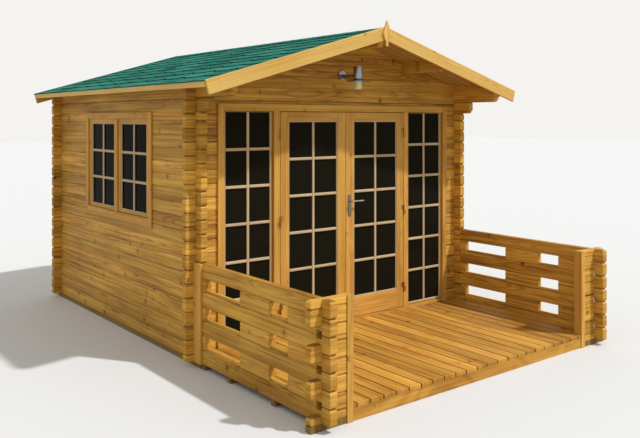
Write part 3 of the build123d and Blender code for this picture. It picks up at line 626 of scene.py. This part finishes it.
def log_nodes():
    """Finishes of the log walls: each log has its own tone, and the joints between logs are darkened by
    painted shade and gathered stain.
    """
    half_front = front_face + log_thickness / 2
    half_rear = rear_face - log_thickness / 2
    half_side = outer_x - log_thickness / 2
    return_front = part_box("front_return_left")[0].y
    half_return = return_front + log_thickness / 2
    for node, middle, seed, seams in (
            ("sill_log", half_front, 3, even_seams), ("front_wall_left", half_front, 3, strong_seams),
            ("front_wall_right", half_front, 131, strong_seams), ("lintel_log", half_front, 3, even_seams),
            ("front_gable", half_front, 3, even_seams), ("rear_wall", half_rear, 211, even_seams),
            ("front_return_left", half_return, 307, strong_seams),
            ("front_return_right", half_return, 341, strong_seams)):
        places = laid(along_x, along_z, front_joint, log_height, middle, seed, seams=seams,
                      stubs=(-outer_x, outer_x))
        stained(node, "log", places, fine_edge, spread=log_spread)
    eave_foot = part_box("eave_logs")[0].z
    for node, seed, start, top_joint, near_wall in (
            ("left_wall", 401, log_foot, None, front_face), ("right_wall", 431, log_foot, None, front_face),
            ("eave_logs", 461, eave_foot, 1.0, front_face),
            ("panel_rails", 503, log_foot, None, return_front),
            ("panel_spacers", 557, log_foot, None, return_front)):
        places = laid(along_y, along_z, start, log_height, half_side, seed, seams=faint_seams, fold=True,
                      top_joint=top_joint, stubs=(near_wall, rear_face))
        stained(node, "log", places, fine_edge, spread=log_spread)


def middle_of(node):
    """The middle of a node's box."""
    low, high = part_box(node)
    return (low + high) / 2


def beam_nodes():
    """Purlins, bearers, joists, posts and boards that stay as the CAD has them.

    Each start and pitch puts the beams of a node, which lie apart, in a stretch of their own.
    """
    stained("purlins", "log", laid(along_y, along_x, -0.9, 0.6, middle_of("side_purlins").z, 601), fine_edge,
            ["ridge_purlin", "side_purlins"])
    bearer_middle, eave_middle = 0.02, 2.2
    stained("side_bearers", "bearer", laid(along_y, along_x, -2.0, 1.0, bearer_middle, 631), planed_edge,
            bump=0.5)
    stained("cross_bearers", "bearer", laid(along_x, along_y, -3.1, 0.49, bearer_middle, 641), planed_edge,
            ["cross_bearers", "deck_joists"], bump=0.5)
    stained("edge_beam", "deck", laid(along_x, along_z, 0.0, 0.2, front_face, 653), planed_edge,
            ["deck_edge_beam"])
    stained("posts", "joinery", laid(along_z, along_x, -3.0, 0.9, front_face, 661), planed_edge,
            ["return_posts"], knots=0.7)
    cover_start = middle_of("joint_covers").y - 0.5
    stained("joint_covers", "joinery", laid(along_z, along_y, cover_start, 1.0, outer_x, 667, fold=True),
            planed_edge, knots=0.7)
    stained("uprights", "joinery", laid(along_z, along_x, -1.5, 0.5, front_face, 673), planed_edge,
            ["frame_uprights"], knots=0.6)
    for node, seed in (("frame_head", 681), ("frame_sill", 687)):
        places = laid(along_x, along_z, middle_of(node).z - 0.25, 0.5, front_face, seed)
        stained(node, "joinery", places, planed_edge, knots=0.6)
    finial_front, finial_back = (corner.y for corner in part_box("finials"))
    board_middle = ridge_underside * math.cos(roof_pitch) + roof_board + shingle_butt - bargeboard_depth / 2
    for side, word in sides_and_words:
        places = laid(along_x, along_z, board_middle - 0.5, 1.0, finial_back, 701 + side,
                      tilt=-side * roof_pitch)
        stained("bargeboards_" + word, "board", places, planed_edge, knots=0.6)
    stained("finials", "board", laid(along_z, along_x, -0.5, 1.0, finial_front, 719), fine_edge)
    # The eave boards take the paler stain as a painted highlight
    stained("eave_boards", "eave", laid(along_y, along_x, -4.0, 3.9, eave_middle, 727), fine_edge, knots=0.0)
    # The deck's gaps carry painted shade on the sides of the boards
    places = laid(along_y, along_x, -inner_x, deck_pitch, middle_of("veranda_deck").z, 743, gaps=True)
    stained("deck", "deck", places, soft_edge, ["veranda_deck"], spread=deck_spread)


def sash_parts(left, right, foot, head, stiles, rails, rows, gap=0.0):
    """The members of a glazed sash: stiles, rails, beads and bars, in axes across, inwards and up.

    The beads lie inside the widths of the stiles and rails. A gap narrows the sash all round.
    """
    least_stile, least_top_rail, least_bead = 0.008, 0.002, 0.001
    pane_left, pane_right = left + stiles[0], right - stiles[1]
    pane_foot, pane_head = foot + rails[0], head - rails[1]
    mid = sash_thickness / 2
    near, behind = mid - glass_thickness / 2, mid + glass_thickness / 2
    side_bead = min(bead_width, stiles[0] - gap - least_stile)
    low_bead = min(bead_width, rails[0] - gap - least_stile)
    high_bead = min(bead_width, max(rails[1] - gap - least_top_rail, 0.0))
    hole_left, hole_right = pane_left - side_bead, pane_right + side_bead
    hole_foot, hole_head = pane_foot - low_bead, pane_head + high_bead
    deep = sash_thickness
    parts = [
        ((left + gap, 0, foot + gap), (hole_left, deep, head - gap), along_z, planed_edge, 0),
        ((hole_right, 0, foot + gap), (right - gap, deep, head - gap), along_z, planed_edge, 0),
        ((hole_left, 0, foot + gap), (hole_right, deep, hole_foot), along_x, planed_edge, 0),
        ((hole_left, 0, hole_head), (hole_right, deep, head - gap), along_x, fine_edge, 0),
    ]
    centre = (pane_left + pane_right) / 2
    half = bar_width / 2
    pitch = (pane_head - pane_foot) / rows
    for outside in (True, False):
        front, back = (bead_set_back, near) if outside else (behind, deep - bead_set_back)
        for low, high in ((hole_left, pane_left), (pane_right, hole_right)):
            parts.append(((low, front, hole_foot), (high, back, hole_head), along_z, soft_edge, 1))
        for low, high in ((hole_foot, pane_foot), (pane_head, hole_head)):
            if high - low > least_bead:
                parts.append(((pane_left, front, low), (pane_right, back, high), along_x, planed_edge, 1))
        front, back = (bar_set_back, near) if outside else (behind, deep - bar_set_back)
        parts.append(((centre - half, front, pane_foot), (centre + half, back, pane_head), along_z, bar_edge,
                      1))
        for row in range(1, rows):
            level = pane_foot + row * pitch
            for low, high in ((pane_left, centre - half), (centre + half, pane_right)):
                parts.append(((low, front, level - half), (high, back, level + half), along_x, bar_edge, 1))
    return parts


def glazing():
    """Doors, sidelights and windows as joined members round their panes."""
    wood = timber_shader("stained_spruce_joinery", "joinery", jointed, knots=0.55, spread=0.12)
    bar = timber_shader("pale_spruce_bars", "bar", jointed, knots=0.0, spread=0.10)
    finish = [wood, bar]
    for side, word in sides_and_words:
        door = word + "_door"
        low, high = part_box(door + "_leaf")
        stiles = leaf_stiles if side < 0 else leaf_stiles[::-1]
        parts = sash_parts(low.x, high.x, low.z, high.z, stiles, leaf_rails, leaf_rows)
        joined(door + "_joinery", members(parts, Matrix.Translation((0, low.y, 0))), finish, door,
               [door + "_leaf"])
    low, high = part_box("sidelight_sashes")
    parts = []
    for left in (low.x, high.x - sidelight_width):
        parts += sash_parts(left, left + sidelight_width, low.z, high.z, sidelight_stiles, sidelight_rails,
                            sidelight_rows, sash_gap)
    joined("sidelight_joinery", members(parts, Matrix.Translation((0, low.y, 0))), finish, "root",
           ["sidelight_sashes"])
    window_parts(finish)


def window_parts(finish):
    """The two side windows: sashes, and a frame with boards round it."""
    low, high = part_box("window_sashes")
    frame_low, frame_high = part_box("window_frames")
    centre = (low.y + high.y) / 2
    half = (high.y - low.y) / 2
    outer = half + window_frame_side
    mullion = window_mullion / 2
    batten = window_batten / 2
    sashes = []
    for left, right in ((-half, -mullion), (mullion, half)):
        sashes += sash_parts(left, right, low.z, high.z, window_stiles, window_rails, window_rows, sash_gap)
    lap = window_casing_lap
    proud = outer_x - frame_high.x
    sill = low.z - window_frame_end
    head = high.z + window_frame_end
    inner = outer - window_casing_cover
    under_head = head - window_casing_cover
    deep = log_thickness
    frames = [(*member, thin_edge, 0) for member in (
        ((-outer, 0, sill), (-half, deep, head), along_z),
        ((half, 0, sill), (outer, deep, head), along_z),
        ((-half, 0, sill), (half, deep, low.z), along_x),
        ((-half, 0, high.z), (half, deep, head), along_x),
        ((-mullion, 0, low.z), (mullion, deep, high.z), along_z))]
    frames += [(*member, casing_edge, 0) for member in (
        ((-outer - lap, proud, frame_low.z), (-inner, 0, head + lap), along_z),
        ((inner, proud, frame_low.z), (outer + lap, 0, head + lap), along_z),
        ((-inner, proud, frame_low.z), (inner, 0, low.z), along_x),
        ((-inner, proud, under_head), (inner, 0, head + lap), along_x),
        ((-batten, proud, low.z), (batten, 0, under_head), along_z))]
    for name, parts, node in (("window_joinery", sashes, "window_sashes"),
                              ("window_boards", frames, "window_frames")):
        for side, word in sides_and_words:
            place = Matrix(((0, -side, 0, side * outer_x), (-1, 0, 0, centre), (0, 0, 1, 0), (0, 0, 0, 1)))
            joined(name + "_" + word, members(parts, place), finish, "root", [node])


def slope_matrix(side):
    """Turns (down the slope, along the ridge, off the boards' underside) into the cabin's axes."""
    along = Vector((side * math.cos(roof_pitch), 0, -math.sin(roof_pitch)))
    up = Vector((side * math.sin(roof_pitch), 0, math.cos(roof_pitch)))
    return Matrix(((along.x, 0, up.x, 0), (0, 1, 0, 0), (along.z, 0, up.z, ridge_underside), (0, 0, 0, 1)))


def felt_shader(name, dark, pale):
    """Mineral felt: matt slate granules, each tab a little lighter or darker than the next."""
    material, tree = bare_material(name)
    piece = add(tree, "Attribute", attribute_name="piece")["Fac"]
    chance = add(tree, "TexWhiteNoise", {"W": piece}, noise_dimensions="1D")["Value"]
    spot = add(tree, "TexCoord")["Object"]
    # Granules are 1 to 2 mm and are drawn at about 4 mm, so that they show. Clouds are 200 mm across.
    granules_per_metre = 240.0
    clouds_per_metre = 5.0
    granule_share, tab_share, cloud_share, base_share = 0.8, 0.45, 0.60, -0.45
    granule = add(tree, "TexNoise", {"Vector": spot, "Scale": granules_per_metre})["Fac"]
    cloud = add(tree, "TexNoise", {"Vector": spot, "Scale": clouds_per_metre, "Detail": 3.0})["Fac"]
    share = add(tree, "Math", [granule, granule_share, base_share], "MULTIPLY_ADD")[0]
    share = add(tree, "Math", [chance, tab_share, share], "MULTIPLY_ADD")[0]
    share = add(tree, "Math", [cloud, cloud_share, share], "MULTIPLY_ADD", use_clamp=True)[0]
    color = add(tree, "Mix", {0: share, 6: linear(dark), 7: linear(pale)}, data_type="RGBA")[2]
    relief = add(tree, "Bump", {"Height": granule, "Strength": 0.5, "Distance": 0.002})[0]
    shader = add(tree, "BsdfPrincipled",
                 {"Base Color": color, "Roughness": 0.92, "IOR": 1.08, "Normal": relief})[0]
    add(tree, "OutputMaterial", {"Surface": shader})
    return material


def roof():
    """Boards under courses of felt shingles, with a cap of short strips on the ridge."""
    felt = felt_shader("green_mineral_felt", "#07463B", "#43958A")
    # The cut edges show the bitumen, nearly black, and the same dark felt is laid as painted shade in a band
    # under each tab
    edge = felt_shader("bitumen_edge_and_painted_shade", "#05201B", "#0D352D")
    boarding = timber_shader("planed_spruce_roof_boards", "floor", jointed, knots=0.8, spread=0.14)
    groove_shade = timber_shader("painted_shade_in_board_joints", "joint", jointed, knots=0.0)
    low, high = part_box("roof_boards_right")
    eave = high.x / math.cos(roof_pitch) - roof_board * math.tan(roof_pitch)
    front, rear = low.y, high.y
    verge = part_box("bargeboards_right")[1].y
    pitch = (rear - front) / roof_board_count
    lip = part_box("roof_shingles_right")[1].x - (roof_board + shingle_butt) * math.sin(roof_pitch)
    shingle_foot = lip / math.cos(roof_pitch)
    course = shingle_foot / shingle_courses
    level = roof_board + shingle_butt + tab_sink
    verge_foot = shingle_foot - (tab_sink + verge_thickness) * math.tan(roof_pitch)
    caps = []
    for side, word in sides_and_words:
        place = slope_matrix(side)
        # The cut edges of each board take the dark joint finish, painted shade in the grooves
        boards = [((0, front + number * pitch, 0), (eave, front + (number + 1) * pitch, roof_board), along_x,
                   board_groove, 0) for number in range(roof_board_count)]
        joined("roof_boarding_" + word, members(boards, place, 1), [boarding, groove_shade], "root",
               ["roof_boards_" + word])
        # At the rear the felt is turned over the top of the bargeboard
        tabs = members([
            ((0, front, roof_board), (shingle_foot, rear, roof_board + underlay), along_y, felt_edge, 0),
            ((0, rear - verge_lap, level), (verge_foot, verge, level + verge_thickness), along_y,
             felt_edge, 0)], place)
        for row in range(shingle_courses):
            tabs += shingle_row(row, course, front, rear, place)
        joined("felt_shingles_" + word, tabs, [felt, edge], "root", ["roof_shingles_" + word])
        caps += ridge_strips(front, rear, place)
    joined("ridge_strips", caps, [felt, edge], "root", ["ridge_cap"])


def shingle_row(row, course, front, rear, place):
    """One course of tabs with cut corners, and a band of painted shade that each lays on the course below."""
    foot = (row + 1) * course
    head = max(foot - course - tab_lap, 0.0)
    rise, run = tab_corner
    steepness = (shingle_butt - shingle_head + tab_sink) / course
    shift = -tab_width / 2 if row % 2 else 0.0
    pieces = []
    for number in range(math.ceil((rear - front) / tab_width) + 1):
        near = front + shift + number * tab_width + tab_slit / 2
        far = near + tab_width - tab_slit
        tab = clipped([(head, near), (head, far), (foot - rise, far), (foot, far - run), (foot, near + run),
                       (foot - rise, near)], 1, front, rear)
        if len(tab) < 3:
            continue
        levels = []
        for down, along in tab:
            top = roof_board + shingle_butt - (foot - down) * steepness
            levels.append((down, along, max(top - tab_thickness, roof_board + underlay / 2), top))
        pieces.append(plate(levels, place, 0, 1))
        if row == shingle_courses - 1:
            continue
        # Painted shade: a thin sheet of the dark felt just over the course below, along the butt of this tab
        low = foot + shade_band_width
        high = foot - rise - shade_band_head
        shade_band = clipped([(low - rise, far), (low, far - run), (low, near + run), (low - rise, near),
                        (high, near), (high, far)], 1, front, rear)
        base = roof_board + shingle_head
        levels = [(down, along, base - shade_band_sunk, base + shade_band_proud + max(down - foot, 0.0) * steepness)
                  for down, along in shade_band]
        pieces.append(plate(levels, place, 1, 1))
    return pieces


def ridge_strips(front, rear, place):
    """Strips of felt folded over the ridge, each lapping the one behind it."""
    count = math.ceil((rear - front) / strip_length)
    pitch = (rear - front) / count
    low = roof_board + shingle_head
    pieces = []
    for number in range(count):
        near = front + number * pitch
        far = min(near + pitch + strip_lap, rear)
        outline = []
        for down, along, thick in ((0.0, near, strip_foot), (cap_width, near, strip_foot),
                                   (cap_width, far, strip_head), (0.0, far, strip_head)):
            under = low + strip_rise * down / cap_width
            top = under + thick
            outline.append((down if down else -top * math.tan(roof_pitch), along, under, top))
        pieces.append(plate(outline, place, 0, 1))
    return pieces


def plain_metal(name, color, roughness, spots_per_metre, wear):
    """Metal with faint wear: tone and roughness drift over the surface from spot to spot."""
    material, tree = bare_material(name)
    place = add(tree, "TexCoord")["Object"]
    cloud = add(tree, "TexNoise", {"Vector": place, "Scale": spots_per_metre, "Detail": 4.0})["Fac"]
    rough = add(tree, "MapRange", {0: cloud, 3: roughness - wear, 4: roughness + wear})[0]
    tint = add(tree, "MapRange", {0: cloud, 3: 0.86, 4: 1.1})[0]
    shade = add(tree, "HueSaturation", {"Value": tint, "Color": linear(color)})[0]
    shader = add(tree, "BsdfPrincipled", {"Base Color": shade, "Metallic": 1.0, "Roughness": rough})[0]
    add(tree, "OutputMaterial", {"Surface": shader})
    return material


def window_glass(name, tint):
    """Float glass before a dark room: its dark tint is painted shade that makes it nearly black, with faint
    reflections.
    """
    # Waves in a pane are about 450 mm long and far below a millimetre high
    waves_per_metre = 2.2
    material, tree = bare_material(name)
    spot = add(tree, "TexCoord")["Object"]
    ripple = add(tree, "TexNoise", {"Vector": spot, "Scale": waves_per_metre, "Detail": 1.0})["Fac"]
    relief = add(tree, "Bump", {"Height": ripple, "Strength": 0.06, "Distance": 0.01})[0]
    shader = add(tree, "BsdfPrincipled",
                 {"Base Color": linear(tint), "Roughness": 0.04, "IOR": 1.06, "Transmission Weight": 0.75,
                  "Normal": relief})[0]
    add(tree, "OutputMaterial", {"Surface": shader})
    return material


def opal_glass():
    """White opal glass: it glows softly where light falls on it and has a wet gloss."""
    # The white drifts over about 30 mm
    drifts_per_metre = 30.0
    material, tree = bare_material("opal_glass")
    spot = add(tree, "TexCoord")["Object"]
    cloud = add(tree, "TexNoise", {"Vector": spot, "Scale": drifts_per_metre})["Fac"]
    color = add(tree, "Mix", {0: cloud, 6: linear("#DCD6C8"), 7: linear("#EFEBDF")}, data_type="RGBA")[2]
    shader = add(tree, "BsdfPrincipled", {"Base Color": color, "Roughness": 0.12, "Subsurface Weight": 0.3,
                                          "Subsurface Scale": 0.01})[0]
    add(tree, "OutputMaterial", {"Surface": shader})
    return material


def floor_boards():
    """The tongued boards of the cabin's floor."""
    low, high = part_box("cabin_floor")
    pitch = (high.x - low.x) / floor_board_count
    boards = [((low.x + number * pitch, low.y, low.z), (low.x + (number + 1) * pitch, high.y, high.z),
               along_y, fine_edge, 0) for number in range(floor_board_count)]
    finish = timber_shader("planed_spruce_floor", "floor", jointed, knots=0.8)
    joined("floor_boarding", members(boards), [finish], "root", ["cabin_floor"])


def fittings():
    """Hinges, handle, lamp and panes."""
    # Yellow zinc: a dull brass tone, too rough to mirror anything, with wear over 17 mm
    zinc = plain_metal("yellow_zinc_plated_steel", "#A9803F", 0.52, 60.0, 0.08)
    for node in ("left_door_hinges", "right_door_hinges", "frame_hinges"):
        dress(node, zinc)
    # Plain zinc: a warm grey that is half matt, with wear over 17 mm
    plain_zinc = plain_metal("zinc_plated_steel", "#8A8374", 0.42, 60.0, 0.08)
    dress("handle_plates", plain_zinc, thin_edge)
    # Satin steel: the brightest metal, with soft lights along the lever and wear over 11 mm
    dress("lever_handle", plain_metal("satin_steel", "#B9B7B2", 0.28, 90.0, 0.06))
    # Galvanised steel: a cool grey with a faint bloom over 22 mm
    galvanised = plain_metal("galvanised_steel", "#999A9F", 0.34, 45.0, 0.08)
    dress("lamp_bracket", galvanised, fine_edge)
    dress("lamp_shade", galvanised, shade_edge)
    dress("lamp_glass", opal_glass())
    # The dark tint of the panes is painted shade of the room behind them
    panes = window_glass("float_glass", "#3B392E")
    for node in ("sidelight_glass", "left_door_glass", "right_door_glass"):
        dress(node, panes)
    # The panes of the side windows are a copy of the front glass with more painted shade, darker than those
    # at the front
    dress("window_glass", window_glass("painted_shade_glass_of_side_windows", "#24221C"))
    return plain_zinc


def round_heads(name, spots, radius, material):
    """Small round heads that stand half a millimetre proud, from (place, way they face)."""
    sides = 10
    proud, sunk = 0.0005, 0.001
    turns = [2 * math.pi * step / sides for step in range(sides)]
    loops = prism_loops(sides)
    pieces = []
    for place, facing in spots:
        place, facing = Vector(place), Vector(facing)
        turned = facing.to_track_quat("Z", "Y").to_matrix()
        ring = [turned @ Vector((math.cos(turn) * radius, math.sin(turn) * radius, 0)) for turn in turns]
        corners = [place + point + facing * proud for point in ring]
        corners += [place + point - facing * sunk for point in ring]
        pieces.append((corners, loops, [0] * len(loops), [(0.0, 0.0, 0.0)] * (2 * sides), facing))
    joined(name, pieces, [material], "root")


def fasteners(steel):
    """Screws in the deck boards over each beam and joist, and nails in the front bargeboards."""
    deck_low, deck_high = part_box("veranda_deck")
    near_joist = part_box("deck_joists")[1].y - joist_width / 2
    middle_joist = near_joist - joist_width - middle_joist_gap
    front_beam = deck_low.y + joist_width / 2
    front_joist = front_beam + joist_width + front_joist_gap
    beam_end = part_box("deck_edge_beam")[1].x
    screws = []
    for board in range(1, deck_boards - 1):
        middle = -inner_x + (board + 0.5) * deck_pitch
        for y in (front_beam, front_joist, middle_joist, near_joist):
            for x in (middle - deck_screw_offset, middle + deck_screw_offset):
                if y > front_beam or abs(x) < beam_end:
                    screws.append(((x, y, deck_high.z), (0, 0, 1)))
    round_heads("deck_screws", screws, deck_screw_radius, steel)
    board_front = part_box("bargeboards_right")[0].y
    nails = []
    for side in (-1, 1):
        for down in nail_places:
            for level in nail_levels:
                spot = slope_matrix(side) @ Vector((down, 0, level))
                nails.append(((spot.x, board_front, spot.z), (0, -1, 0)))
    round_heads("bargeboard_nails", nails, nail_radius, steel)


def seen_directly(tree):
    """The share that is 1 where the studio is seen itself, in a reflection or through glass."""
    path = add(tree, "LightPath")
    seen = add(tree, "Math", [path["Is Camera Ray"], path["Is Glossy Ray"]], "MAXIMUM")[0]
    return add(tree, "Math", [seen, path["Is Transmission Ray"]], "MAXIMUM")[0]


def studio():
    """A pale floor, a soft sun from the front right and a pale surround."""
    reach = 60.0
    mesh = bpy.data.meshes.new("studio_floor")
    mesh.from_pydata([(-reach, -reach, 0), (reach, -reach, 0), (reach, reach, 0), (-reach, reach, 0)], [],
                     [(0, 1, 2, 3)])
    ground = placed("studio_floor", mesh)
    # Matt studio paper: seen directly it is pale, and the light that it throws up under the roof is dimmer
    material, tree = bare_material("studio_paper")
    dim, pale = linear("#ABA58F"), linear("#D4DAE3")
    color = add(tree, "Mix", {0: seen_directly(tree), 6: dim, 7: pale}, data_type="RGBA")[2]
    shader = add(tree, "BsdfPrincipled", {"Base Color": color, "Roughness": 0.9})[0]
    add(tree, "OutputMaterial", {"Surface": shader})
    mesh.materials.append(material)

    world = bpy.data.worlds.new("studio")
    bpy.context.scene.world = world
    world.use_nodes = True
    tree = world.node_tree
    tree.nodes.clear()
    light = add(tree, "Background", {"Color": linear("#F3EDE0"), "Strength": 0.76})[0]
    backdrop = add(tree, "Background", {"Color": linear("#F5F3F0"), "Strength": 1.0})[0]
    mix = add(tree, "MixShader", [seen_directly(tree), light, backdrop])[0]
    add(tree, "OutputWorld", {"Surface": mix})

    sun_direction = Vector((-0.330, 0.491, -0.806))
    lamp = bpy.data.lights.new("studio_sun", "SUN")
    lamp.energy = 2.7
    lamp.angle = math.radians(2.0)
    lamp.color = (1.0, 0.955, 0.88)
    placed("studio_sun", lamp).rotation_euler = sun_direction.to_track_quat("-Z", "Y").to_euler()


def camera():
    """The photograph's own view, from eye height at the front left."""
    eye_height = 1.901
    from_middle, from_front = 4.381, 5.219
    turn = math.radians(38.17)
    lens = bpy.data.cameras.new("camera")
    lens.lens = 42.88
    lens.sensor_width = 36.0
    lens.shift_y = -0.155
    view = placed("camera", lens)
    view.location = (-from_middle, front_face - from_front, eye_height)
    view.rotation_euler = (math.radians(90), 0, -turn)
    bpy.context.scene.camera = view


camera()
studio()
log_nodes()
beam_nodes()
glazing()
roof()
floor_boards()
fasteners(fittings())
bpy.context.scene.view_settings.view_transform = "Standard"
